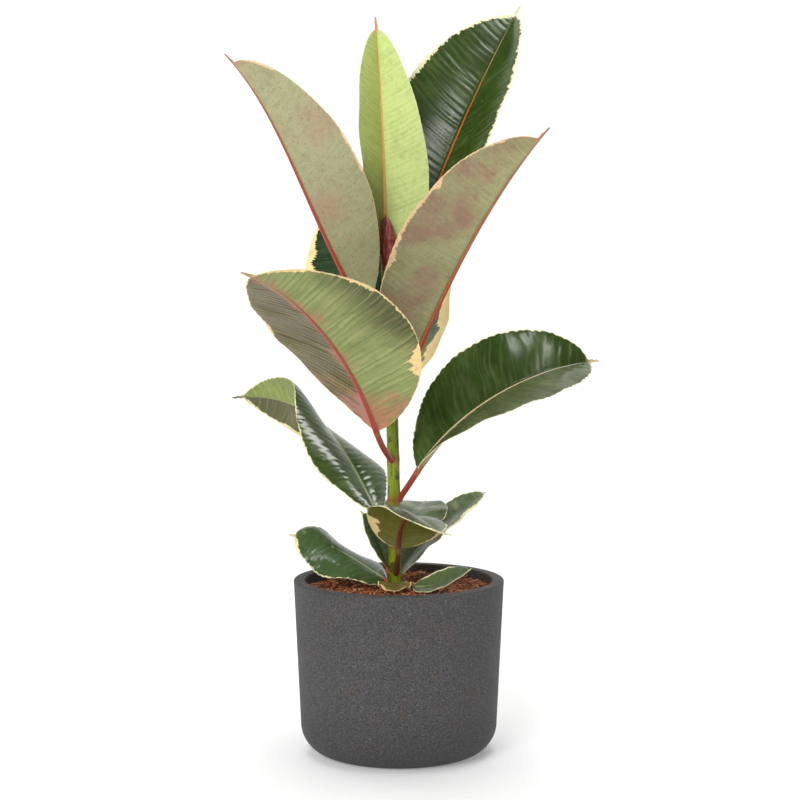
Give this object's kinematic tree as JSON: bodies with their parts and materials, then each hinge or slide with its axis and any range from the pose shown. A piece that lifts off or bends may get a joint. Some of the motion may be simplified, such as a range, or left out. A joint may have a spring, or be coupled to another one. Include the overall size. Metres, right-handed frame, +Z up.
{
  "type": "potted rubber plant",
  "caption": "Young variegated rubber plant with broad, cream-edged leaves on a single green stem, in a round charcoal stone-look pot topped with coir.",
  "frame": {"origin": "middle of the pot's base, on the surface that it stands on", "axes": "+Z up along the plant's height, +X to the right and +Y away as the plant is seen from the picture's side"},
  "size_m": [0.2745, 0.3542, 0.5377],
  "materials": {
    "pot": "matte charcoal, finely speckled like cast stone",
    "soil": "dark, crumbly",
    "coir": "reddish-brown loose fibre",
    "bark": "smooth green bark with brown marks",
    "bud": "smooth maroon",
    "green_leaf": "glossy dark green with a cream edge",
    "young_leaf": "satin light green",
    "grey_green_leaf": "satin grey-green with a cream edge",
    "leaf_underside": "matte olive and pink underside with a peach edge",
    "withered_leaf": "dull olive-brown with a pale edge"
  },
  "bodies": {
    "root": {"pot": "pot", "soil": "soil", "coir_topping": "coir", "stem": "bark", "bud_sheath": "bud", "leaf_top_new": "young_leaf", "leaf_upper_right": "green_leaf", "leaf_upper_left": "leaf_underside", "leaf_right_forward": "leaf_underside", "leaf_lower_right": "green_leaf", "leaf_front_left": "leaf_underside", "leaf_twisted_left": "green_leaf", "leaf_behind_stem": "grey_green_leaf", "leaf_small_front": "leaf_underside", "leaf_small_right": "grey_green_leaf", "leaf_narrow_left": "green_leaf", "leaf_low_left": "green_leaf", "leaf_low_right": "grey_green_leaf", "leaf_withered": "withered_leaf", "leaf_rear_left": "green_leaf", "leaf_rear_right": "grey_green_leaf"}
  },
  "joints": []
}
